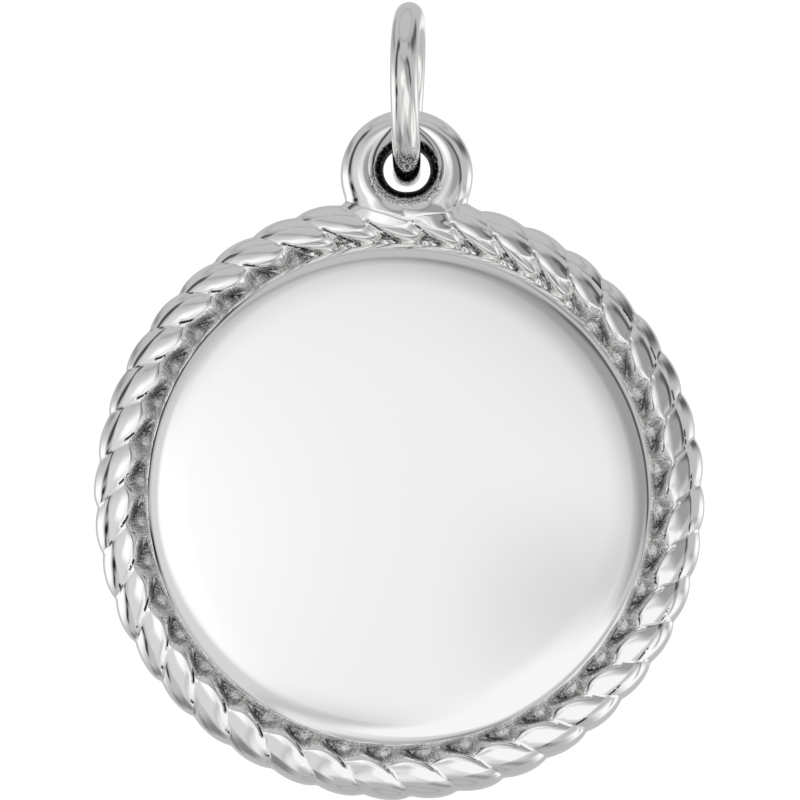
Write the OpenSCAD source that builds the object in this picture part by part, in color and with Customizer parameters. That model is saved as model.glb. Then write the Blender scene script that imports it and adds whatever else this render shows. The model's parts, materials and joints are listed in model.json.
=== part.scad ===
// Round disc pendant with a twisted rope border, an eye and a jump ring.
// Millimetres. X is to the right, Y from the polished front to the flat back, Z up.
// The origin is the inside top of the jump ring, where a chain or bail carries it.
// The polished front of the disc faces -Y.

/* [Disc] */
// Diameter over the crests of the rope border
disc_d = 18; // [17.6:0.1:18.4]
// Diameter of the raised, mirror polished button
button_d = 15.06; // [14.8:0.02:15.12]
// Height of the crown of the button above the line where its edge starts to roll
crown_rise = 0.32; // [0.28:0.01:0.36]
// Radius of the rolled edge of the button
edge_roll = 0.25; // [0.22:0.01:0.28]
// Height of the rolled edge's centre in front of the middle plane
edge_height = 0.3; // [0.28:0.01:0.34]
// Height of the sunk, unpolished floor in front of the middle plane
floor_height = 0.12; // [0.1:0.01:0.16]
// Depth of the flat back behind the middle plane
back_depth = 0.65; // [0.62:0.01:0.7]

/* [Rope border] */
// Number of strands that show round the border
strand_count = 40; // [36:1:42]
// Width of the rope, from its inner to its outer side
rope_w = 1.26; // [1.2:0.01:1.3]
// Thickness of the rope from front to back, before its back is cut flat
rope_t = 1.44; // [1.4:0.01:1.5]
// Depth of the grooves between the strands on the outer side
groove_outer = 0.1; // [0.08:0.01:0.14]
// Depth of the grooves where the strands dive down beside the button
groove_inner = 0.4; // [0.25:0.01:0.42]
// Degrees round the border that a strand leans on its way over the rope
strand_lean = 8.4; // [7:0.1:9]
// Degrees from the top of the disc to the crest of the first strand
strand_start = 1; // [0:0.1:9]

/* [Eye] */
// Thickness of the eye's round ring
eye_t = 1.29; // [1.2:0.01:1.3]
// Diameter of the hole through the eye
eye_hole_d = 1.354; // [1.3:0.002:1.4]
// Distance from the centre of the eye to the centre of the disc
eye_to_disc = 9.65; // [9.6:0.01:9.8]
// Degrees of the eye's ring that are left open at the bottom, inside the rope
eye_open = 76; // [70:1:90]

/* [Jump ring] */
// Outer diameter of the jump ring
ring_d = 5.5; // [5.3:0.05:5.8]
// Diameter of the jump ring's wire
ring_wire_d = 0.84; // [0.8:0.02:0.9]
// Degrees that the jump ring is turned about the upright
ring_turn = 3.5; // [0:0.5:6]
// How far the eye's centre hangs below the centre of the wire that runs through it
eye_drop = 0.11; // [0.08:0.01:0.14]

/* [Hidden] */
// Fineness of the round shapes in a preview
$fn = 96;

// Places, from the chain's seat at the origin downwards
ring_mean_r = (ring_d - ring_wire_d) / 2;
ring_z = -(ring_mean_r - ring_wire_d / 2);
eye_z = ring_z - ring_mean_r - eye_drop;
disc_z = eye_z - eye_to_disc;

// The rope's cross-section is an ellipse round this circle
rope_half_w = rope_w / 2;
rope_half_t = rope_t / 2;
rope_mean_r = disc_d / 2 - rope_half_w;
rope_back_depth = back_depth - 0.05;
plate_r = rope_mean_r - 0.06;

// Angles round the cross-section: 0 is the outermost point, 90 the front, 180 the innermost.
// The rows run from the cut back over the outer side and the front to the sunk floor.
first_row = -asin(rope_back_depth / rope_half_t);
last_row = 166;
shown_rows = 14;
row_step = (last_row - first_row) / (shown_rows - 1);
// Two rows inside the plate close the section
row_angles = concat([for (i = [0:shown_rows - 1]) first_row + i * row_step], [188, 180 - first_row]);

// Places across one strand: 0 and 1 are its two grooves and 0.5 would be its crest
strand_marks = [0, 0.13, 0.37, 0.63, 0.87];
pitch = 360 / strand_count;
columns = strand_count * len(strand_marks);
// Angle in the section where the strands dive under the floor, and start of the deep grooves
lean_end = 157;
deepen_from = 60;

// Smooth step from 0 to 1
function ease(x) = let (t = min(max(x, 0), 1)) t * t * (3 - 2 * t);

// Degrees that a strand has moved round the border at one angle of the section. Half of the
// lean is even and half grows with the square of the angle, as on a strand that curls in.
function lean(angle) =
    let (x = angle / lean_end)
    strand_lean * (x + x * abs(x)) / 2;

// Depth of a groove at one angle of the section
function groove(angle) =
    groove_outer + (groove_inner - groove_outer) * ease((angle - deepen_from) / (lean_end - deepen_from));

// Fall from the crest to a place across the strand, 0 on the crest and 1 in the groove
function fall(mark) = 1 - sqrt(1 - pow(2 * mark - 1, 2));

// One point of the rope: the row's angle gives the place on the ellipse, the column the strand
function rope_point(angle, column) =
    let (
        mark = strand_marks[column % len(strand_marks)],
        strand = floor(column / len(strand_marks)),
        round_by = strand_start + (strand + mark - 0.5) * pitch + lean(angle),
        sunk = groove(angle) * fall(mark),
        out = rope_mean_r + (rope_half_w - sunk) * cos(angle),
        depth = min(-(rope_half_t - sunk) * sin(angle), rope_back_depth)
    )
    [out * sin(round_by), depth, out * cos(round_by)];

// The border of twisted strands, as one closed ring of facets
module rope_border() {
    rows = len(row_angles);
    points = [for (c = [0:columns - 1], a = row_angles) rope_point(a, c)];
    faces = [
        for (c = [0:columns - 1], r = [0:rows - 1])
            let (
                here = c * rows,
                next = ((c + 1) % columns) * rows,
                up = (r + 1) % rows
            )
            each [
                [here + r, next + r, next + up],
                [here + r, next + up, here + up]
            ]
    ];
    polyhedron(points, faces, convexity = 8);
}

// A solid of revolution about the front to back axis; its profile has the height along -Y
module turned() {
    rotate([90, 0, 0])
        rotate_extrude()
            children();
}

// The plate that closes the back and makes the sunk floor
module plate() {
    turned()
        translate([0, -back_depth])
            square([plate_r, back_depth + floor_height]);
}

// The raised button: a low dome with a rolled edge that stands on the sunk floor
module button() {
    button_r = button_d / 2;
    roll_r = button_r - edge_roll;
    dome_r = (roll_r * roll_r + crown_rise * crown_rise) / (2 * crown_rise);
    // The dome meets the rolled edge just inside its top
    crease = 0.001;
    top = edge_height - crease + dome_r - sqrt(pow(dome_r - edge_roll, 2) - roll_r * roll_r);
    root = floor_height - 0.1;
    turned()
        intersection() {
            translate([0, top - dome_r])
                circle(r = dome_r, $fn = 720);
            union() {
                translate([0, root])
                    square([roll_r, 2 * (edge_height + edge_roll)]);
                translate([0, root])
                    square([button_r, edge_height - root]);
                translate([roll_r, edge_height])
                    circle(r = edge_roll);
            }
        }
}

// The eye, a round ring cast in one with the rope border. Its lowest stretch would lie wholly
// inside the rope, so the ring is left open there and its two ends sink into the border.
module eye() {
    rotate([90, 0, 0])
        rotate([0, 0, eye_open / 2 - 90])
            rotate_extrude(angle = 360 - eye_open)
                translate([(eye_hole_d + eye_t) / 2, 0])
                    circle(d = eye_t);
}

// The casting: plate, button, rope border and eye in one piece of silver
module charm() {
    color("silver")
        union() {
            translate([0, 0, disc_z]) {
                plate();
                button();
                rope_border();
            }
            translate([0, 0, eye_z])
                eye();
        }
}

// The closed jump ring, edge on to the front view
module jump_ring() {
    color("gainsboro")
        translate([0, 0, ring_z])
            rotate([0, 0, ring_turn])
                rotate([0, 90, 0])
                    rotate_extrude()
                        translate([ring_mean_r, 0])
                            circle(d = ring_wire_d);
}

charm();
jump_ring();
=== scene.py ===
# %% [markdown]
# # A round disc pendant with a rope border
# The real object is a small silver casting that hangs from a jump ring. A low, mirror-polished button
# fills the middle, a border like twisted rope runs round it, and a thick round eye stands on top.
# Polished silver has almost no colour of its own. What the eye reads is the studio in its surface,
# so this lesson spends its care on two things: smooth shapes, and what stands round them.
#
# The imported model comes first. It gives the places that everything else is worked out from.

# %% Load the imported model
import json
import math

import bpy
import numpy as np
from mathutils import Matrix, Vector


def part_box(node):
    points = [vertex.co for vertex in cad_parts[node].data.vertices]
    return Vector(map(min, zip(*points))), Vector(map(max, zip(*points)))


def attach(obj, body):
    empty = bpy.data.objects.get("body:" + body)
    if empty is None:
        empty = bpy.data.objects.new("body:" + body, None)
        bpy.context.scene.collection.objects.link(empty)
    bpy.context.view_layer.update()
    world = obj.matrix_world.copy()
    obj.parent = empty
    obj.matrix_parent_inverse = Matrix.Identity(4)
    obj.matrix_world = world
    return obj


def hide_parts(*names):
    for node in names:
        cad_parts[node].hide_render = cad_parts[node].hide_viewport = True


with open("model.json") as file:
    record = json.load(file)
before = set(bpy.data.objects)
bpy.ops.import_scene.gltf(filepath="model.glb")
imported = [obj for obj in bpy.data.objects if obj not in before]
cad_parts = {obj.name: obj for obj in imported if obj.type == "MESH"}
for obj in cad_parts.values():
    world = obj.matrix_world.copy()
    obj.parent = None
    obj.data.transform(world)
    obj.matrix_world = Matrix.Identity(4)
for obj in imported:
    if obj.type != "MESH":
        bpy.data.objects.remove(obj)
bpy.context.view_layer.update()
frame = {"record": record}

MM = 0.001
mounts = {mount["name"]: mount for mount in frame["record"]["mounts"]}
charm_low, charm_high = [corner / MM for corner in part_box("charm")]
ring_low, ring_high = [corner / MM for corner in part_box("jump_ring")]
print("charm box in mm:", tuple(charm_low), tuple(charm_high))
print("jump ring box in mm:", tuple(ring_low), tuple(ring_high))

# %% Sizes in millimetres
# x is to the right, y to the back and z up. A height stands in front of the disc's middle plane.
BACK_Y = mounts["back_face"]["pos_m"][1] / MM
DISC_Z = mounts["back_face"]["pos_m"][2] / MM
DISC_R = round((charm_high.x - charm_low.x) / 2, 1)
FLOOR_H = 0.12
STRANDS = 40
PITCH = 360 / STRANDS
EYE_OUTER_R = 1.967
EYE_Z = charm_high.z - EYE_OUTER_R
RING_OUTER_R = (ring_high.z - ring_low.z) / 2
RING_Z = (ring_high.z + ring_low.z) / 2
WIRE_R = ring_high.z / 2
print("disc centre z", round(DISC_Z, 3), "eye centre z", round(EYE_Z, 3), "ring centre z", round(RING_Z, 3))

# %% [markdown]
# ## The camera
# A catalogue picture of so small a thing is taken with a long lens from a short step away, so it
# shows hardly any perspective. The camera could be placed by eye. Here it is worked out instead: the
# view is 9.5 degrees from below, the object hangs 1.3 degrees askew, and the centre of the disc falls
# on a known pixel of an 800 pixel picture.

# %% Place the camera
PICTURE = 800
DISC_PX = (399.2, 496.75)
MM_PER_PX = 0.02946
ELEVATION = math.radians(-9.5)
ROLL = math.radians(1.335)
LENS = 400
SENSOR = 36
NEAREST_M = 0.01
FARTHEST_M = 10

to_camera = Vector((0, -math.cos(ELEVATION), math.sin(ELEVATION)))
level_right = Vector((1, 0, 0))
level_up = level_right.cross(-to_camera)
view_up = level_up * math.cos(ROLL) - level_right * math.sin(ROLL)
view_right = level_right * math.cos(ROLL) + level_up * math.sin(ROLL)
distance = MM_PER_PX * PICTURE * LENS / SENSOR
offset_right = (DISC_PX[0] - PICTURE / 2) * MM_PER_PX
offset_up = (PICTURE / 2 - DISC_PX[1]) * MM_PER_PX
aim = Vector((0, 0, DISC_Z)) - view_right * offset_right - view_up * offset_up

camera = bpy.data.objects.new("camera", bpy.data.cameras.new("camera"))
camera.data.lens = LENS
camera.data.sensor_width = SENSOR
camera.data.clip_start = NEAREST_M
camera.data.clip_end = FARTHEST_M
turn = Matrix((view_right, view_up, to_camera)).transposed()
camera.matrix_world = Matrix.Translation((aim + to_camera * distance) * MM) @ turn.to_4x4()
bpy.context.scene.collection.objects.link(camera)
bpy.context.scene.camera = camera
print("camera at", [round(c, 4) for c in camera.matrix_world.translation])

# %% [markdown]
# ## Surfaces from two parameters
# Every new piece is a grid: one parameter runs round the piece and the other along its section. numpy
# works out all the points at once, and one helper turns such a grid into a closed mesh. Modelling by
# hand would be possible, but a mirror shows every uneven face, and a formula has none.

# %% Turn a grid into a mesh
def grid_mesh(name, points, loop_rows=False, first_pole=None, last_pole=None):
    """A closed mesh from points[row, column], in mm. Columns always close into a ring, rows only when
    loop_rows is true. Otherwise a pole closes the first and the last row with a fan of triangles."""
    rows, columns = points.shape[:2]
    index = np.arange(rows * columns).reshape(rows, columns)
    lower = index if loop_rows else index[:-1]
    upper = np.roll(index, -1, axis=0) if loop_rows else index[1:]
    quads = np.stack([lower, np.roll(lower, -1, 1), np.roll(upper, -1, 1), upper], -1).reshape(-1, 4)
    faces = quads.tolist()
    places = points.reshape(-1, 3)
    for pole, ring, order in ((first_pole, index[0], -1), (last_pole, index[-1], 1)):
        if pole is None:
            continue
        tip = np.full(columns, len(places))
        fan = np.stack([ring, np.roll(ring, -1), tip], -1)[:, ::order]
        faces += fan.tolist()
        places = np.vstack([places, pole])
    mesh = bpy.data.meshes.new(name)
    mesh.from_pydata((places * MM).tolist(), [], faces)
    mesh.shade_smooth()
    piece = bpy.data.objects.new(name, mesh)
    bpy.context.scene.collection.objects.link(piece)
    triangles = sum(len(face) - 2 for face in faces)
    print(name, "has", triangles, "triangles")
    return piece


# %% Turn faces outwards and mark the skin
def outward(piece):
    """Turns the faces over if the mesh encloses a negative volume: a sixth of the sum, over all
    triangles, of one corner times the cross product of the other two."""
    mesh = piece.data
    mesh.calc_loop_triangles()
    corners = np.empty(len(mesh.loop_triangles) * 3, np.int32)
    mesh.loop_triangles.foreach_get("vertices", corners)
    places = np.empty(len(mesh.vertices) * 3)
    mesh.vertices.foreach_get("co", places)
    a, b, c = places.reshape(-1, 3)[corners.reshape(-1, 3)].transpose(1, 0, 2)
    volume = np.einsum("ij,ij->i", a, np.cross(b, c)).sum() / 6
    if volume < 0:
        mesh.flip_normals()
    print(piece.name, "encloses", round(abs(volume) / MM**3, 2), "cubic mm")


def mark_skin(piece, grain, unshaded, painted_shade):
    """Writes three numbers from 0 to 1 at each vertex for the finish to read: how unpolished the skin
    is, how free the unpolished skin is of painted shade, and how much black painted shade lies in a crease
    or corner."""
    for name, values in (("grain", grain), ("unshaded", unshaded), ("painted_shade", painted_shade)):
        attribute = piece.data.attributes.new(name, "FLOAT", "POINT")
        attribute.data.foreach_set("value", np.ravel(values).astype(np.float32))
    print(piece.name, "has a mean grain of", round(float(np.mean(grain)), 3))


# %% Soft steps and soft corners
def smooth_step(x):
    """0 below 0, 1 above 1, and a soft ramp between: three times the square less twice the cube."""
    t = np.clip(x, 0, 1)
    return t * t * (3 - 2 * t)


def soft_max(a, b, k):
    """The larger of a and b, rounded over a width of k by a parabola of height k / 4."""
    h = np.maximum(k - np.abs(a - b), 0) / k
    return np.maximum(a, b) + h * h * k / 4


def thin_line(value, middle, width):
    """1 where value is at the middle, and a bell curve that is gone a few widths away."""
    return np.exp(-((value - middle) / width) ** 2)


print("a soft corner of width 1 stands out by", soft_max(0, 0, 1))

# %% [markdown]
# ## The rope border
# The rope is cast, not twisted: 40 strands lean across the rim. Each has a bevelled face that ends in a
# rounded toe beside the button, and between two toes the casting drops into a small three-cornered
# notch. Strands could be swept one by one, but then every crossing needs a clean join. A casting is
# one skin, so one surface does it: the rope's section is carried round the disc, and its columns are
# sheared and spread so that they follow the strands and the sides of the notches.

# %% Section of the rope
RIM_R = 7.771
RIM_W = DISC_R - RIM_R
RIM_T = 0.802
CREST_R = 7.96
CREST_T = 0.72
BEVEL_W = 1.09
BEVEL_POWER = 2.1
TOE_W = 0.46
TOE_POWER = 1.35
TOE_END = 0.26
FOOT_SOFT = 0.1


def bevel_height(out):
    """Height of a strand from its crest out to the rim, a broad bevel: the crest's height times a
    quarter of a superellipse over the share of the bevel's width."""
    share = np.clip((out - CREST_R) / BEVEL_W, 0, 1)
    return CREST_T * (1 - share**BEVEL_POWER) ** (1 / BEVEL_POWER)


def toe_height(out):
    """Height of a strand from its crest in to the recess: the crest's height times a quarter of a
    superellipse, nearly a straight slope, over the share of the toe's width."""
    share = np.clip((CREST_R - out) / TOE_W, 0, 1)
    return CREST_T * (1 - share**TOE_POWER) ** (1 / TOE_POWER)


def strand_height(out, foot=TOE_END):
    """Height of a strand at any radius: bevel or toe, and never lower than the soft foot of its toe."""
    falling = np.where(out > CREST_R, bevel_height(out), toe_height(out))
    return soft_max(falling, foot, FOOT_SOFT)


print("a strand stands", CREST_T, "mm high at its crest and", TOE_END, "mm at its foot")

# %% Course of the strands
# Degrees that a strand leans per mm: fast round the rim, slow over the front, fast down the inside
STRAND_START = 1.2
LEAN_FROM = 8.85
LEAN_RIM = 7.0
LEAN_FRONT = 4.0
LEAN_INSIDE = 11.0
RIM_TO_FRONT = 0.35
FRONT_TO_INSIDE = 0.7
LEAN_SOFT = 0.15


def lean(out, side=1.0):
    """Degrees that a strand has moved round the border by the time it has come in to a radius: three
    straight stretches with soft corners. On the back, where side is -1, it leans the other way, as on
    a strand that winds round."""
    inward = LEAN_FROM - out
    rim = soft_max(inward, 0, LEAN_SOFT)
    front = soft_max(inward - RIM_TO_FRONT, 0, LEAN_SOFT)
    inside = soft_max(inward - FRONT_TO_INSIDE, 0, LEAN_SOFT)
    return side * (LEAN_RIM * (rim - front) + LEAN_FRONT * (front - inside) + LEAN_INSIDE * inside)


print("a strand moves", round(float(lean(CREST_R)), 2), "degrees round the disc up to its crest")

# %% Grooves, and small differences from strand to strand
GROOVE_OUTER = 0.1
GROOVE_FRONT = 0.065
GROOVE_EASE = 0.6
CREST_SHIFT = 0.94
FALL_POWER = 2.1
NOTCH_TIP = 8.19
TURN_VARIES = 0.25
SIZE_VARIES = 0.006
TIP_VARIES = 0.018
random = np.random.default_rng(7)
strand_turn = random.normal(0, TURN_VARIES, STRANDS)
strand_size = random.normal(0, SIZE_VARIES, STRANDS)
notch_tip = NOTCH_TIP + random.normal(0, TIP_VARIES, STRANDS)


def groove_depth(height):
    """Depth of the groove between two strands: a notch in the outline that eases, with the height,
    to a hairline on the front."""
    return GROOVE_OUTER + (GROOVE_FRONT - GROOVE_OUTER) * smooth_step(height / GROOVE_EASE)


def notch_share(out, tip):
    """Share of the pitch that the notch takes at a radius: the lean since the notch's tip, over the
    pitch. It is negative outside the tip."""
    return (lean(out) - lean(tip)) / PITCH


def fall(across):
    """How far the crown of a strand has fallen at a place across it: 1 in both grooves and 0 on the
    crest, as a power of the distance from a crest that is shifted a little."""
    return np.abs(2 * np.clip(across, 0, 1) ** CREST_SHIFT - 1) ** FALL_POWER


print("the strands are turned by up to", round(float(np.abs(strand_turn).max()), 2), "degrees")

# %% [markdown]
# ### The soft joint of eye and rope
# On the real charm the eye runs into the rope with a small fillet, as wax does in the mould. A Boolean
# and a bevel could make it, but that leaves uneven faces. Here each skin swells where the other piece
# comes near, so both meet at a soft corner. All it needs is the distance from a point to each piece.

# %% Distances for the soft joint
EYE_TUBE = 0.645
EYE_TUBE_VARY = 0.073
JOINT = 0.24
LEAST_REACH = 0.2


def rope_distance(points):
    """Signed distance in mm, nearly, from points to the outer side of the rope: the distance to the
    middle of its section, less the same over the reach of the section's ellipse."""
    x, y, z = np.moveaxis(points, -1, 0)
    out = np.hypot(x, z - DISC_Z)
    turned = np.degrees(np.arctan2(x, z - DISC_Z))
    place = (turned - STRAND_START - lean(out, np.sign(-y))) / PITCH + 0.5
    sunk = groove_depth(np.abs(y)) * fall(place - np.floor(place))
    outside = np.maximum(out - RIM_R, 0)
    reach = np.hypot(outside / (RIM_W - sunk), y / (RIM_T - sunk))
    return np.hypot(outside, y) * (1 - 1 / np.maximum(reach, LEAST_REACH))


def eye_tube(turned):
    """Radius of the eye's ring, a constant less a cosine: thin at the top, where the hole sits high,
    and thick at the bottom."""
    return EYE_TUBE - EYE_TUBE_VARY * np.cos(turned)


def eye_distance(points):
    """Signed distance in mm from points to the eye, a ring of changing thickness: the distance to the
    middle line of its tube, less the tube's radius."""
    x, y, z = np.moveaxis(points, -1, 0)
    z = z - EYE_Z
    turned = np.arctan2(x, z)
    tube = eye_tube(turned)
    out = np.hypot(x, z) - (EYE_OUTER_R - tube)
    return np.hypot(out, y) - tube


def joint_rise(distance):
    """How far a skin stands out at a distance from the other piece: a parabola, a quarter of JOINT
    high where they touch and nothing at a distance of JOINT."""
    return JOINT / 4 * np.maximum(1 - np.abs(distance) / JOINT, 0) ** 2


print("the eye's ring is", round(2 * (EYE_TUBE - EYE_TUBE_VARY), 2), "mm thick at the top and",
      round(2 * (EYE_TUBE + EYE_TUBE_VARY), 2), "mm at the bottom")

# %% [markdown]
# ### Rows and columns of the border
# The rows run from the middle of the back, over the rim and the front, down to the recess. They could
# be spaced evenly, but rows cost triangles, so they are close together only where the section bends.
# The columns come in two kinds, for the face of a strand and for the notch beside it. Near the eye the
# notches of the real border are narrower, and the toes there are polished.

# %% Rows of the border
BACK_OUT = np.array([1, 3, 5, 7, 8.1, 8.3])
BACK_EDGE_RISE = 0.04
BACK_STEP = 0.05
BACK_SOFT = 0.05
RIM_FROM_DEGREES = -82
RIM_STEP_DEGREES = 8
RIM_FRONT_ROWS = 20
BEVEL_FROM = 8.57
BEVEL_FIRST_STEP = 0.008
BEVEL_STEP = 0.035
BEVEL_ROWS_TO = 8.28
TOE_ROWS_FROM = 8.26
TOE_STEP = 0.025
TOE_ROWS_TO = 7.6
FLOOR_OUT = np.array([7.45, 6.5, 4, 1])
back_height = np.full(len(BACK_OUT), -BACK_Y)
back_height[-1] += BACK_EDGE_RISE
rim_end = math.degrees(math.acos((BEVEL_FROM - RIM_R) / RIM_W))
rim_angles = np.radians(np.concatenate([
    np.arange(RIM_FROM_DEGREES, 0, RIM_STEP_DEGREES), np.linspace(0, rim_end, RIM_FRONT_ROWS),
]))
rim_out = RIM_R + RIM_W * np.cos(rim_angles)
rim_height = soft_max(RIM_T * np.sin(rim_angles), -(BACK_Y - BACK_STEP), BACK_SOFT)
bevel_out = np.arange(BEVEL_FROM - BEVEL_STEP, BEVEL_ROWS_TO, -BEVEL_STEP)
bevel_out = np.concatenate([[BEVEL_FROM - BEVEL_FIRST_STEP], bevel_out])
toe_out = np.arange(TOE_ROWS_FROM, TOE_ROWS_TO, -TOE_STEP)
row_out = np.concatenate([BACK_OUT, rim_out, bevel_out, toe_out, FLOOR_OUT])[:, None]
row_height = np.concatenate([
    back_height, rim_height, bevel_height(bevel_out), strand_height(toe_out),
    np.full(len(FLOOR_OUT), FLOOR_H),
])[:, None]
row_number = np.arange(len(row_out))[:, None]
is_back = row_number < len(BACK_OUT)
is_floor = row_number >= len(row_out) - len(FLOOR_OUT)
is_front = row_height > FLOOR_H
print("the border has", len(row_out), "rows")

# %% Columns of the border, spread by the notch as it widens
LEAF_COLUMNS = 21
NOTCH_COLUMNS = 11
LEAF_CROWD = 0.1
NOTCH_CROWD = 0.07
NOTCH_SPREAD = 0.82
NARROWER_AT_TOP = 0.56
LEAST_GAP = 0.06
GAP_SOFT = 0.08
TOP_REACH = 40
TOP_FADE = 18
leaf_share = np.arange(LEAF_COLUMNS) / LEAF_COLUMNS
leaf_share = leaf_share - LEAF_CROWD * np.sin(2 * np.pi * leaf_share)
gap_share = np.arange(NOTCH_COLUMNS) / NOTCH_COLUMNS
gap_share = gap_share + NOTCH_CROWD * np.sin(np.pi * gap_share)
share = np.tile(np.concatenate([leaf_share, gap_share]), STRANDS)
in_gap = np.tile(np.arange(LEAF_COLUMNS + NOTCH_COLUMNS) >= LEAF_COLUMNS, STRANDS)
number = np.repeat(np.arange(STRANDS), LEAF_COLUMNS + NOTCH_COLUMNS)
from_top = np.abs((number * PITCH + 180) % 360 - 180)
near_top = smooth_step((TOP_REACH - from_top) / TOP_FADE)
held_out = np.clip(row_out, toe_out[-1], None)
gap_raw = notch_share(held_out, notch_tip[number]) * (NOTCH_SPREAD - NARROWER_AT_TOP * near_top)
gap = soft_max(gap_raw, LEAST_GAP, GAP_SOFT)
mark = np.where(in_gap, 1 - gap + gap * share, (1 - gap) * share)
print("the border has", len(number), "columns, and its widest notch takes", round(float(gap.max()), 2),
      "of the pitch")

# %% Notches and creases between the strands
# Lengths across a strand shrink by LEANING, because the strand runs at a slant
LEANING = 0.6
LEAN_WALL = 0.09
STRAIGHT_RAMP = 0.42
STEEPER_AT_TOP = 0.65
CREASE_AT = 0.055
CREASE_W = 0.028
CREASE_FROM = 8.29
CREASE_TO = 7.96
LONGER_AT_TOP = 0.25
CREASE_FADE = 0.05
pitch_mm = np.radians(PITCH) * held_out
from_lean_side = (1 - mark) * pitch_mm * LEANING
from_straight_side = (mark - 1 + gap_raw) * pitch_mm
straight_ramp = STRAIGHT_RAMP * (1 - STEEPER_AT_TOP * near_top)
notch = smooth_step(from_lean_side / LEAN_WALL) * smooth_step(from_straight_side / straight_ramp)
notch = np.where(is_front, notch, 0)

# A dark crease runs along the edge of a strand where it lies over its neighbour
crease = thin_line(mark * pitch_mm * LEANING, CREASE_AT, CREASE_W) * is_front
crease = crease * smooth_step((CREASE_FROM - held_out) / CREASE_FADE)
crease = crease * smooth_step((held_out - CREASE_TO + LONGER_AT_TOP * near_top) / CREASE_FADE)
print("notches cover", round(100 * float(np.mean(notch > 0.5)), 1), "% of the grid")

# %% Place the border's points
TOE_FROM = 8.3
TOE_ROUND = 0.16
TOE_ROUND_FADE = 0.3
LOWER_FOOT_AT_TOP = 0.11
CREASE_DEPTH = 0.03
SHALLOWER_AT_TOP = 0.4
crown = fall(np.where(in_gap, 1.0, share))
is_strand = (row_out < TOE_FROM) & is_front
round_in = TOE_ROUND * crown * smooth_step((TOE_FROM - row_out) / TOE_ROUND_FADE)
foot = TOE_END - LOWER_FOOT_AT_TOP * near_top
base_height = np.where(is_strand, strand_height(row_out - round_in, foot), row_height)
sunk = groove_depth(np.abs(row_height)) * crown - strand_size[number] * (1 - crown)
sunk = np.where(is_back | is_floor, 0, sunk)
out = row_out - sunk * np.clip((row_out - RIM_R) / RIM_W, 0, 1)
height = base_height - sunk * np.clip(row_height / RIM_T, -1, 1) - CREASE_DEPTH * crease
left_over = 1 - notch * (1 - SHALLOWER_AT_TOP * near_top)
height = np.where(is_front, FLOOR_H + np.maximum(height - FLOOR_H, 0) * left_over, height)
side = np.where(row_height < 0, -1.0, 1.0)
lean_row = np.where(is_back, lean(rim_out[0], -1.0), lean(held_out, side))
turned = STRAND_START + (number + mark - 0.5) * PITCH + lean_row + strand_turn[number] * (1 - crown)
around = np.radians(turned)
border_points = np.stack([out * np.sin(around), -height, DISC_Z + out * np.cos(around)], -1)
print("the border is", round(2 * float(out.max()), 2), "mm across")

# %% Swell the skin where the eye stands on it, and build the border
out_step = np.gradient(out, axis=0)
height_step = np.gradient(height, axis=0)
step = np.maximum(np.hypot(out_step, height_step), 1e-9)
border_normal = np.stack([
    height_step / step * np.sin(around), out_step / step, height_step / step * np.cos(around),
], -1)
border_rise = joint_rise(eye_distance(border_points))
border_points = border_points + border_normal * border_rise[..., None]
border = grid_mesh(
    "rope_border", border_points,
    first_pole=(0, BACK_Y, DISC_Z), last_pole=(0, -FLOOR_H, DISC_Z),
)
outward(border)

# %% [markdown]
# ### What the polishing wheel leaves, and painted shade
# The wheel polishes the strands, reaches the toes less and less, and leaves the notches as cast. The
# notches are painted darker as shade, and black painted shade lies in the creases and corners. This could
# be painted by hand, but the rows and columns already know where each thing is, so the marks are worked out
# from them.

# %% Grain of the border's skin, and painted shade in its notches
TOE_GRAIN = 0.8
TOE_GRAIN_FROM = 7.92
TOE_GRAIN_FADE = 0.16
toe_grain = smooth_step((TOE_GRAIN_FROM + round_in - row_out) / TOE_GRAIN_FADE)
toe_grain = TOE_GRAIN * (1 - near_top) * toe_grain
grain = np.maximum(toe_grain, smooth_step((notch - 0.1) / 0.4))
grain = np.where(is_front | is_floor, grain, 0)
# Painted shade: the skin is dark in the notches and light on the toes
unshaded = smooth_step((0.9 - notch) / 0.8)
print("grain reaches", round(float(grain.max()), 2), "and lightness falls to", round(float(unshaded.min()), 2))

# %% Black painted shade in the border's creases and corners
RIM_LINE_R = 8.6
RIM_LINE_W = 0.03
CORNER_R = 8.68
CORNER_W = 0.035
MOST_BLACK = 0.9
RIGHT_OF_EYE_BLACK = 0.4
CREASE_BLACK = 0.65
CREASE_BLACK_VARIES = 0.35

# Painted shade in the creases, mostly on the left
left = -np.sin(around)
up = np.cos(around)
crease_shade = crease * (CREASE_BLACK + CREASE_BLACK_VARIES * left)

# Painted shade: a dash on the outer side of each strand on the right
strand_share = np.where(in_gap, 1.0, share)
rim_line = thin_line(row_out, RIM_LINE_R, RIM_LINE_W) * smooth_step((strand_share - 0.6) / 0.1)
dash_shade = MOST_BLACK * rim_line * ~in_gap * is_front * smooth_step((-left - 0.35) / 0.3)

# Painted shade: a point at the outer corner of each strand at the lower left
corner = thin_line(row_out, CORNER_R, CORNER_W) * smooth_step((0.14 - strand_share) / 0.08) * is_front
lower_left = smooth_step((left - 0.25) / 0.2) * smooth_step((-up - 0.1) / 0.2)
point_shade = MOST_BLACK * corner * lower_left

# Painted shade in both corners beside the eye, mostly on the left
near_eye = smooth_step((0.1 - eye_distance(border_points)) / 0.08) * smooth_step((out - CORNER_R) / 0.12)
eye_corner_shade = near_eye * np.where(border_points[..., 0] < 0, MOST_BLACK, RIGHT_OF_EYE_BLACK)
painted_shade = np.maximum.reduce([crease_shade, dash_shade, point_shade, eye_corner_shade])

# The last two values are the poles' own
mark_skin(
    border, np.append(grain.ravel(), [0, 1]), np.append(unshaded.ravel(), [0, 0]),
    np.append(painted_shade.ravel(), [0, 0]),
)

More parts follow.
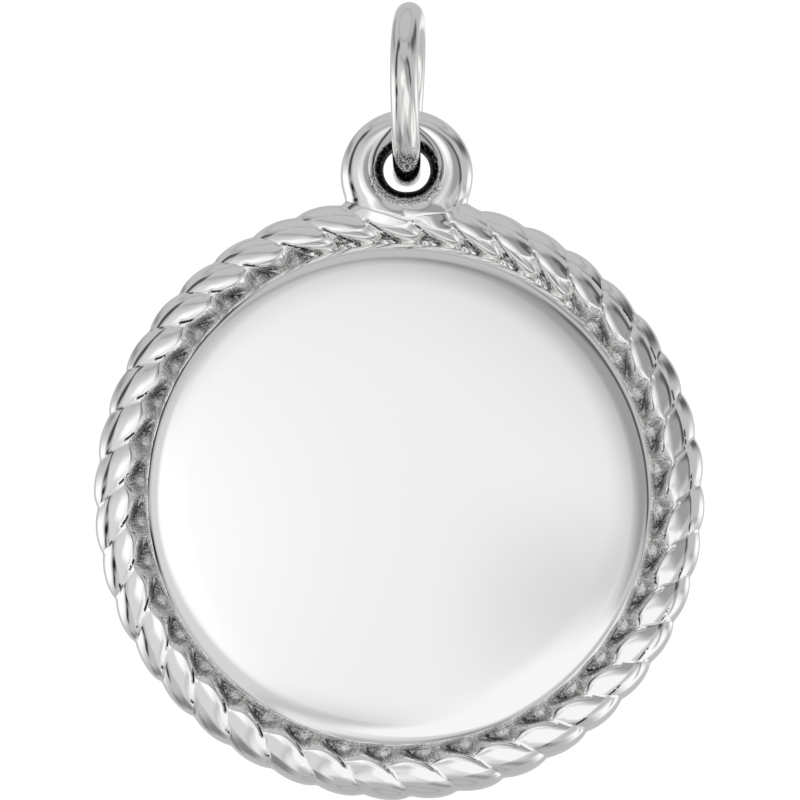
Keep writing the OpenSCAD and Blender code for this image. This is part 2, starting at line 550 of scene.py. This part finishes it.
# %% [markdown]
# ## The button
# The button is a low dome. Its slope grows slowly over the face, faster over the last millimetre, and
# then turns down in a tight rolled edge. A sphere with a bevel would come near it, but the change from
# one to the other shows in a mirror. So the slope is given, and the profile is added up from it. That
# gives a polished charm its broad calm middle and its thin bright lines at the rim.

# %% Slope of the button's face
BUTTON_R = 7.535
CROWN_H = 0.87
DOME_SHARE = 0.05
EDGE_POWER = 30
FINE_STEPS = 40001


def slope_sine(share):
    """Sine of the face's slope at a share of the radius: a gentle even dome, plus a high power that
    stays near nothing over the face and stands the surface upright at the edge."""
    return DOME_SHARE * share + (1 - DOME_SHARE) * share**EDGE_POWER


fine_share = np.sin(np.linspace(0, np.pi / 2, FINE_STEPS))
fine_sine = slope_sine(fine_share)
middle_sine = (fine_sine[1:] + fine_sine[:-1]) / 2
step_down = np.diff(fine_share) * BUTTON_R * middle_sine / np.sqrt(1 - middle_sine**2)
fine_h = CROWN_H - np.concatenate([[0], np.cumsum(step_down)])
print("the button's edge starts", round(float(fine_h[-1]), 3), "mm in front of the middle plane")

# %% Profile of the button, from its middle out and down into the recess
CALM_FROM = 0.03
CALM_TO = 0.84
CALM_ROWS = 34
EDGE_ROWS = 34
WALL_END = FLOOR_H + 0.05
BELOW_FLOOR = FLOOR_H - 0.08
UNDERSIDE = FLOOR_H - 0.1
UNDERSIDE_IN = 0.3
calm_share = np.linspace(CALM_FROM, CALM_TO, CALM_ROWS)
edge_slopes = np.linspace(float(np.arcsin(slope_sine(CALM_TO))), np.pi / 2, EDGE_ROWS)[1:]
edge_share = np.interp(np.sin(edge_slopes), fine_sine, fine_share)
shares = np.concatenate([calm_share, edge_share])
profile_out = np.concatenate([BUTTON_R * shares, [BUTTON_R, BUTTON_R, BUTTON_R - UNDERSIDE_IN]])
profile_h = np.interp(shares, fine_share, fine_h)
profile_h = np.concatenate([profile_h, [WALL_END, BELOW_FLOOR, UNDERSIDE]])
print("the button's profile has", len(profile_out), "points")

# %% Build the button
BUTTON_AROUND = 360
WALL_GRAIN_FROM = 0.12
WALL_GRAIN_FADE = 0.1
button_around = np.arange(BUTTON_AROUND) * 2 * np.pi / BUTTON_AROUND
button_points = np.stack([
    profile_out[:, None] * np.sin(button_around),
    -profile_h[:, None] * np.ones(BUTTON_AROUND),
    DISC_Z + profile_out[:, None] * np.cos(button_around),
], -1)
button = grid_mesh(
    "button", button_points,
    first_pole=(0, -CROWN_H, DISC_Z), last_pole=(0, -UNDERSIDE, DISC_Z),
)
outward(button)
wall_share = smooth_step((FLOOR_H + WALL_GRAIN_FROM - profile_h) / WALL_GRAIN_FADE)
wall_grain = np.append(np.repeat(wall_share, BUTTON_AROUND), [0, 1])
# The unpolished foot of the wall takes the dark tone of painted shade all round: its lightness is 0
mark_skin(button, wall_grain, np.zeros_like(wall_grain), np.zeros_like(wall_grain))

# %% [markdown]
# ## The eye
# The eye is a thick ring cast on the rim. Its hole sits a little high, so the ring is thin at the top
# and thick at the bottom. Blender's torus has one thickness all round, so the ring is worked out as a
# tube whose radius changes on its way. The wheel can't reach into the hole, which stays rough, and its
# inside is painted dark and black as shade.

# %% Points of the eye
EYE_AROUND = 224
EYE_TUBE_STEPS = 112
eye_turned = (np.arange(EYE_AROUND) * 2 * np.pi / EYE_AROUND)[None, :]
tube_angle = (np.arange(EYE_TUBE_STEPS) * 2 * np.pi / EYE_TUBE_STEPS)[:, None]
tube = eye_tube(eye_turned)
eye_out = EYE_OUTER_R - tube + tube * np.cos(tube_angle)
eye_points = np.stack([
    eye_out * np.sin(eye_turned),
    -tube * np.sin(tube_angle),
    EYE_Z + eye_out * np.cos(eye_turned),
], -1)
eye_normal = np.stack([
    np.cos(tube_angle) * np.sin(eye_turned),
    -np.sin(tube_angle) * np.ones_like(eye_turned),
    np.cos(tube_angle) * np.cos(eye_turned),
], -1)
eye_rise = joint_rise(rope_distance(eye_points))
print("the eye's skin rises by up to", round(float(eye_rise.max()), 3), "mm at the joint")

# %% Build the eye
eye = grid_mesh("eye", eye_points + eye_normal * eye_rise[..., None], loop_rows=True)
outward(eye)

# Rough inside the hole, and ragged round its lower half. The inside of the hole is painted dark and black
# as shade.
LOWER_GRAIN = 0.55
HOLE_BLACK = 0.8
inward = -np.cos(tube_angle) * np.ones_like(eye_turned)
lower_half = smooth_step((0.2 - np.cos(eye_turned)) / 0.8) * smooth_step((inward - 0.05) / 0.35)
hole_grain = np.maximum(smooth_step((inward - 0.5) / 0.12), LOWER_GRAIN * lower_half)
hole_unshaded = smooth_step((0.64 - inward) / 0.1)
hole_painted_shade = HOLE_BLACK * smooth_step((inward - 0.6) / 0.1)
mark_skin(eye, hole_grain, hole_unshaded, hole_painted_shade)

# %% [markdown]
# ## The jump ring
# The jump ring is round wire bent round a mandrel. It hangs edge on, and like every hand-closed ring
# it isn't quite flat: the wire wanders sideways by about a tenth of a millimetre. A plain torus would
# look machined, so a few sines are added to the course of its wire.

# %% Build the jump ring
RING_MEAN_R = RING_OUTER_R - WIRE_R
RING_AROUND = 288
WIRE_STEPS = 64
SWAY = 0.082
BOW = 0.031
TWIST = 0.04
ring_angle = (np.arange(RING_AROUND) * 2 * np.pi / RING_AROUND)[None, :]
wire_angle = (np.arange(WIRE_STEPS) * 2 * np.pi / WIRE_STEPS)[:, None]


def ring_wander(angle):
    """Sideways place of the wire in mm, a sum of one sine and two faster waves. 0 degrees is the top
    and 90 the front."""
    return -SWAY * np.sin(angle) + BOW * (np.cos(2 * angle) - 1) - TWIST * np.sin(2 * angle)


ring_out = RING_MEAN_R + WIRE_R * np.cos(wire_angle)
ring_points = np.stack([
    ring_wander(ring_angle) + WIRE_R * np.sin(wire_angle),
    -ring_out * np.sin(ring_angle),
    RING_Z + ring_out * np.cos(ring_angle),
], -1)
jump_ring = grid_mesh("jump_ring_wire", ring_points, loop_rows=True)
outward(jump_ring)

# %% [markdown]
# ## Finishes
# Polished silver is a metal with a very low roughness. The buffing wheel can't reach the notches
# between the toes or the inside of the eye, so the casting skin stays there: rough, speckled, and brushed
# lighter on the toes. The deepest places are painted dark and black as shade. A flat colour would look like
# paint, and the wheel's work can't be guessed from the shape by a shader. So the three attributes written
# above say where each kind of skin and the painted shade are, and noise breaks them up.

# %% Small helpers for node trees
class Nodes:
    """Short ways to work in one node tree. Each value is a number or another node's socket."""

    def __init__(self, tree):
        self.tree = tree

    def put(self, value, socket):
        """Links another node's socket to an input, or sets the input to a number."""
        if isinstance(value, bpy.types.NodeSocket):
            self.tree.links.new(value, socket)
        else:
            socket.default_value = value

    def add(self, kind, inputs=None, **settings):
        """A new node of any kind, with its inputs and its settings."""
        node = self.tree.nodes.new(kind)
        for key, value in settings.items():
            setattr(node, key, value)
        for key, value in (inputs or {}).items():
            self.put(value, node.inputs[key])
        return node

    def calc(self, operation, *values):
        """One step of arithmetic."""
        node = self.add("ShaderNodeMath", dict(enumerate(values)), operation=operation)
        return node.outputs[0]

    def plus(self, a, b):
        return self.calc("ADD", a, b)

    def minus(self, a, b):
        return self.calc("SUBTRACT", a, b)

    def times(self, a, b):
        return self.calc("MULTIPLY", a, b)

    def mix(self, a, b, share):
        """a where share is 0 and b where it is 1: a, plus the share times the step from a to b."""
        return self.plus(a, self.times(share, self.minus(b, a)))

    def length(self, a, b):
        """The long side of a right-angled triangle: the root of the sum of both squares."""
        return self.calc("SQRT", self.plus(self.times(a, a), self.times(b, b)))

    def ramp(self, value, low, high, from_tone=0.0, to_tone=1.0):
        """A soft ramp from one tone, up to low, to another, from high on."""
        limits = {"Value": value, "From Min": low, "From Max": high, "To Min": from_tone, "To Max": to_tone}
        return self.add("ShaderNodeMapRange", limits, interpolation_type="SMOOTHSTEP").outputs["Result"]

    def vector(self, x, y, z=0.0):
        """Three values joined into one place."""
        return self.add("ShaderNodeCombineXYZ", {"X": x, "Y": y, "Z": z}).outputs["Vector"]

    def noise(self, place, scale, detail):
        """Cloudy noise, mostly between 0.3 and 0.7, with a number of finer layers."""
        inputs = {"Vector": place, "Scale": scale, "Detail": detail}
        return self.add("ShaderNodeTexNoise", inputs).outputs["Fac"]


def new_material(name, metallic=1.0):
    """A material, the helpers for its node tree, and its shader."""
    material = bpy.data.materials.new(name)
    material.use_nodes = True
    shader = material.node_tree.nodes["Principled BSDF"]
    shader.inputs["Metallic"].default_value = metallic
    return material, Nodes(material.node_tree), shader


# %% Brush marks on the silver
# Waves per radian or per metre: the higher the number, the finer the marks in that direction
TOE_MARKS_AROUND = 190.0
TOE_MARKS_ACROSS = 5000.0
BACK_MARKS_ALONG = 250.0
BACK_MARKS_ACROSS = 14000.0


def toe_marks(nodes, x, z):
    """Streaks that run from the toes to the middle of the disc: noise over the angle round the disc
    and the distance from its middle, fine round the border and long across it."""
    upward = nodes.minus(z, DISC_Z * MM)
    turned = nodes.times(nodes.calc("ARCTAN2", x, upward), TOE_MARKS_AROUND)
    reach = nodes.times(nodes.length(x, upward), TOE_MARKS_ACROSS)
    return nodes.noise(nodes.vector(turned, reach), 1.0, 3.0)


def back_marks(nodes, x, z):
    """Level lines on the flat back: noise that is long from side to side and fine from top to bottom."""
    place = nodes.vector(nodes.times(x, BACK_MARKS_ALONG), nodes.times(z, BACK_MARKS_ACROSS))
    return nodes.noise(place, 1.0, 4.0)


# %% The casting skin
RAGGED = 1.2
DARK_TONES = (0.05, 0.62)
PALE_TONES = (0.55, 1.0)


def ragged_grain(nodes, grain, speck):
    """The grain with the ragged edge that the wheel leaves: specks are added wherever there is some
    grain, and a ramp then parts polished from unpolished."""
    spread = nodes.ramp(grain, 0.0, 0.15, 0.0, RAGGED)
    ragged = nodes.plus(grain, nodes.times(nodes.minus(speck, 0.5), spread))
    return nodes.ramp(ragged, 0.3, 0.75)


def casting_tone(nodes, speckle, marks, unshaded):
    """Tone of the casting skin: painted dark and speckled as shade where its lightness is 0, pale and
    brushed where it is 1.
    """
    dark_tone = nodes.ramp(speckle, 0.36, 0.7, *DARK_TONES)
    pale_tone = nodes.ramp(marks, 0.3, 0.7, *PALE_TONES)
    return nodes.mix(dark_tone, pale_tone, unshaded)


# %% Polished silver with a grainy recess
GRAIN_SCALE = 15000.0
SPECK_SCALE = 9000.0
SILVER = 0.925
BLACK = 0.03
MIRROR_ROUGHNESS = 0.04
GRAIN_ROUGHNESS = 0.28
BACK_ROUGHNESS = 0.24
BACK_DARKER = 0.12
BACK_RELIEF = 0.5
RELIEF_M = 0.00003
BACK_FROM_M = (BACK_Y - 0.04) * MM
BACK_FULL_M = (BACK_Y - 0.01) * MM


def polished_silver():
    """Mirror silver where grain is 0 and casting skin where it is 1. Painted shade darkens the skin in the
    notches and blackens a crease, but for a few bright specks. The flat back is brushed from side to side,
    not polished."""
    material, nodes, shader = new_material("polished_silver")
    place = nodes.add("ShaderNodeTexCoord").outputs["Object"]
    x, y, z = nodes.add("ShaderNodeSeparateXYZ", {"Vector": place}).outputs
    grain, unshaded, painted_shade = [
        nodes.add("ShaderNodeAttribute", attribute_name=name).outputs["Fac"]
        for name in ("grain", "unshaded", "painted_shade")
    ]
    speckle = nodes.noise(place, GRAIN_SCALE, 4.0)
    speck = nodes.noise(place, SPECK_SCALE, 1.0)
    grain = ragged_grain(nodes, grain, speck)
    back = nodes.ramp(y, BACK_FROM_M, BACK_FULL_M)
    lines = back_marks(nodes, x, z)

    # Colour: silver or casting skin, painted dark as shade in the notches and black as shade in the
    # creases, and darker lines on the back
    skin = nodes.mix(SILVER, casting_tone(nodes, speckle, toe_marks(nodes, x, z), unshaded), grain)
    black = nodes.times(painted_shade, nodes.ramp(speck, 0.56, 0.66, 1.0, 0.0))
    skin = nodes.times(skin, nodes.ramp(black, 0.1, 0.7, 1.0, BLACK))
    skin = nodes.minus(skin, nodes.times(back, nodes.ramp(lines, 0.35, 0.65, BACK_DARKER, 0.0)))
    tint = {"Red": nodes.times(skin, 1.006), "Green": skin, "Blue": nodes.times(skin, 0.994)}
    nodes.put(nodes.add("ShaderNodeCombineColor", tint).outputs["Color"], shader.inputs["Base Color"])

    # Roughness and relief of the casting skin and of the back
    rough = nodes.plus(nodes.times(grain, GRAIN_ROUGHNESS), nodes.times(back, BACK_ROUGHNESS))
    nodes.put(nodes.plus(rough, MIRROR_ROUGHNESS), shader.inputs["Roughness"])
    back_relief = nodes.times(lines, nodes.times(back, BACK_RELIEF))
    relief = nodes.plus(nodes.times(speckle, grain), back_relief)
    bump = nodes.add("ShaderNodeBump", {"Height": relief, "Strength": 1.0, "Distance": RELIEF_M})
    nodes.put(bump.outputs["Normal"], shader.inputs["Normal"])
    return material


silver = polished_silver()
for piece in (border, button, eye):
    piece.data.materials.append(silver)
print("polished silver has", len(silver.node_tree.nodes), "nodes")

# %% [markdown]
# ### Silver wire
# The wire of the jump ring is drawn through a plate, which leaves faint lines along it. Where it passes
# through the eye's hole it is painted dark as shade. The lines could be cut into the mesh, but they are far
# finer than its faces, so they are noise that is stretched along the wire, in the bump and in the
# roughness.

# %% Drawn silver wire
WIRE_SILVER = 0.9
DRAWN_ACROSS = 16000.0
DRAWN_ALONG = 3.0
DRAWN_RELIEF_M = 0.0000012
WIRE_ROUGHNESS = (0.03, 0.1)
HOLE_SHADE_TONES = (0.08, 0.8)
HOLE_SHADE_Z = RING_Z - RING_MEAN_R + 0.2
HOLE_SHADE_FADE = 0.12


def silver_wire():
    """Drawn and tumbled wire: bright, with faint lines along it from the drawing plate, and painted
    dark and speckled as shade at its bottom, where it passes through the eye's hole."""
    material, nodes, shader = new_material("silver_wire")
    place = nodes.add("ShaderNodeTexCoord").outputs["Object"]
    x, y, z = nodes.add("ShaderNodeSeparateXYZ", {"Vector": place}).outputs
    upward = nodes.minus(z, RING_Z * MM)
    turned = nodes.times(nodes.calc("ARCTAN2", y, upward), DRAWN_ALONG)
    reach = nodes.times(nodes.length(y, upward), DRAWN_ACROSS)
    lines = nodes.noise(nodes.vector(nodes.times(x, DRAWN_ACROSS), reach, turned), 1.0, 2.0)
    nodes.put(nodes.ramp(lines, 0.3, 0.7, *WIRE_ROUGHNESS), shader.inputs["Roughness"])
    bump = nodes.add("ShaderNodeBump", {"Height": lines, "Strength": 1.0, "Distance": DRAWN_RELIEF_M})
    nodes.put(bump.outputs["Normal"], shader.inputs["Normal"])

    speckle = nodes.noise(place, GRAIN_SCALE, 3.0)
    # Painted shade at the bottom of the ring, where it passes through the eye's hole
    hole_shade = nodes.ramp(z, (HOLE_SHADE_Z + HOLE_SHADE_FADE) * MM, (HOLE_SHADE_Z - HOLE_SHADE_FADE) * MM)
    shade = nodes.times(hole_shade, nodes.minus(nodes.ramp(speckle, 0.4, 0.64, *HOLE_SHADE_TONES), 1.0))
    skin = nodes.plus(WIRE_SILVER, nodes.times(shade, WIRE_SILVER))
    tint = {"Red": skin, "Green": nodes.times(skin, 0.995), "Blue": nodes.times(skin, 0.985)}
    nodes.put(nodes.add("ShaderNodeCombineColor", tint).outputs["Color"], shader.inputs["Base Color"])
    return material


wire = silver_wire()
jump_ring.data.materials.append(wire)
print("silver wire has", len(wire.node_tree.nodes), "nodes")

# %% [markdown]
# ## The studio
# A polished object is lit by what it mirrors. Round it stands a pale tent with a grey front, in which
# the camera looks through a slot, and with narrow dark gaps between its panels. The gaps draw the thin
# dark lines that make silver look like silver. Lamps and cards could be set up as objects, but they
# would throw shadows and show in other views. So the tent is worked out from the direction alone: each
# panel is a row of a table, and a ray that meets it takes its tone.

# %% Panels of the light tent
# Azimuth 0 is towards the camera and 90 to the right. Later rows are in front of earlier ones.
STUDIO = [
    # name, azimuth, elevation, half width, half height, tilt, soft edge, brightness
    ("floor", 0, -72, 400, 22, 0, 20, 0.5),
    ("floor's shade", 0, -77, 400, 2, 0, 6, 0.4),
    ("ceiling", 0, 68, 400, 24, 0, 6, 0.56),
    ("ceiling's seam", 0, 58, 400, 2, 0, 8, 0.42),
    ("back panel, right half", 180, 2, 24, 14, 12, 12, 0.95),
    ("back panel, left half", -180, 2, 24, 14, 12, 12, 0.95),
    ("left wall", -104, -2, 22, 15, 0, 18, 1.1),
    ("right wall", 116, 6, 18, 9, 0, 16, 1.1),
    ("low right sheet", 84, -26, 22, 18, -10, 18, 1.05),
    ("front tent", -4, -12, 46, 34, 0, 18, 0.72),
    ("upper right gap", 62, 46, 28, 4, -10, 10, 0.27),
    ("far right gap", 102, 37, 30, 8, -8, 14, 0.12),
    ("upper left gap", -122, 31, 24, 5, 0, 12, 0.3),
    ("left opening", -68, 27, 9, 20, -8, 12, 0.06),
    ("left opening's head", -60, 46, 14, 6, 0, 12, 0.08),
    ("left slot", -66, -4, 9, 6, 0, 10, 0.01),
    ("left slot's tail", -78, -17, 11, 4, 32, 8, 0.02),
    ("low left haze", -114, -38, 18, 6, 0, 16, 0.2),
    ("low left shade", -84, -52, 26, 12, 0, 16, 0.25),
    ("right slot", 88, -3, 12, 2, -8, 8, 0.4),
    ("front", 0, 8, 12, 10, 0, 12, 0.93),
    ("grey cloth", 25, 16, 21, 12, -40, 14, 0.36),
    ("arc, left", -16, 32, 18, 2, -12, 8, 0.38),
    ("arc, top", 12, 29, 12, 3, 8, 8, 0.28),
    ("arc, crown", 27, 31, 7, 4, 0, 8, 0.12),
    ("arc, shoulder", 38, 26, 10, 5, -35, 8, 0.1),
    ("arc, side", 50, 13, 12, 5, -56, 8, 0.08),
    ("arc, tail", 73, -14, 20, 2, -48, 9, 0.2),
    ("bright sheet", -15, 6, 10, 8, -20, 10, 1.1),
    ("faint shade", 8, 5, 5, 2.5, 0, 5, 0.7),
    ("low front sheet", 16, -18, 20, 16, -24, 6, 1.0),
    ("low left sheet", -24, -42, 26, 7, 40, 14, 0.88),
    ("seam", -22, -25, 30, 2, 46, 7, 0.58),
    ("low shade", 42, -57, 28, 5, -4, 16, 0.28),
]
print("the tent has", len(STUDIO), "panels and gaps")

# %% Directions in the tent
world = bpy.data.worlds.new("studio")
world.use_nodes = True
bpy.context.scene.world = world
bpy.context.scene.view_settings.view_transform = "Standard"
tent = Nodes(world.node_tree)
DEGREES = 180 / math.pi
direction = tent.add("ShaderNodeTexCoord").outputs["Generated"]
x, y, z = tent.add("ShaderNodeSeparateXYZ", {"Vector": direction}).outputs
azimuth = tent.times(tent.calc("ARCTAN2", x, tent.times(y, -1.0)), DEGREES)
elevation = tent.times(tent.calc("ARCSINE", z), DEGREES)


def inside(value, half, soft):
    """1 where value is within half of 0, with edges that are soft degrees wide: a ramp over the
    negative of its size."""
    nearness = tent.times(tent.calc("ABSOLUTE", value), -1.0)
    return tent.ramp(nearness, -half - soft / 2, -half + soft / 2)


def panel_cover(middle_a, middle_e, half_w, half_h, tilt, soft):
    """1 where a direction meets a panel, an upright rectangle of azimuth and elevation turned by tilt:
    inside its width times inside its height."""
    cosine = math.cos(math.radians(tilt))
    sine = math.sin(math.radians(tilt))
    right = tent.minus(azimuth, middle_a)
    up = tent.minus(elevation, middle_e)
    along = tent.plus(tent.times(right, cosine), tent.times(up, sine))
    across = tent.minus(tent.times(up, cosine), tent.times(right, sine))
    return tent.times(inside(along, half_w, soft), inside(across, half_h, soft))


print("azimuth and elevation take", len(world.node_tree.nodes), "nodes")

# %% Hang the panels
BASE_TONE = 0.55
BACKDROP = 1.05
level = BASE_TONE
for _, middle_a, middle_e, half_w, half_h, tilt, soft, tone in STUDIO:
    level = tent.mix(level, tone, panel_cover(middle_a, middle_e, half_w, half_h, tilt, soft))

# Seen straight by the camera, the tent is a white backdrop
seen = tent.add("ShaderNodeLightPath").outputs["Is Camera Ray"]
level = tent.calc("MAXIMUM", level, tent.times(seen, BACKDROP))
background = world.node_tree.nodes["Background"]
tent.put(level, background.inputs["Color"])
print("the world has", len(world.node_tree.nodes), "nodes")

# %% [markdown]
# ### The floor
# The charm hangs high above a plain pale floor. It would be one more thing in every mirror, so it is
# hidden from reflections, and the tent has a floor of its own for them.

# %% Pale floor
FLOOR_Z = -0.16
FLOOR_HALF = 1.2
FLOOR_GLOW = 0.36
corners = [(-1, -1), (1, -1), (1, 1), (-1, 1)]
floor_mesh = bpy.data.meshes.new("floor")
floor_mesh.from_pydata([(a * FLOOR_HALF, b * FLOOR_HALF, FLOOR_Z) for a, b in corners], [], [(0, 1, 2, 3)])
floor = bpy.data.objects.new("floor", floor_mesh)
bpy.context.scene.collection.objects.link(floor)
floor_material, _, floor_shader = new_material("pale_floor", metallic=0.0)
floor_shader.inputs["Base Color"].default_value = (0.85, 0.85, 0.84, 1)
floor_shader.inputs["Roughness"].default_value = 0.6
floor_shader.inputs["Emission Color"].default_value = (1, 1, 1, 1)
floor_shader.inputs["Emission Strength"].default_value = FLOOR_GLOW
floor_mesh.materials.append(floor_material)
floor.visible_glossy = False
print("the floor lies", -FLOOR_Z / MM, "mm below the jump ring's seat")

# %% [markdown]
# ## Bodies
# The real charm swings on its jump ring. The three pieces of the casting ride on the pendant's body
# together, because they are one lump of silver, and the ring rides on the carrier's. They could be
# joined into one mesh, but apart each stays simple to change.

# %% Attach the pieces to their bodies
for piece in (border, button, eye):
    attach(piece, "pendant")
    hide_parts("charm")
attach(jump_ring, "carrier")
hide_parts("jump_ring")
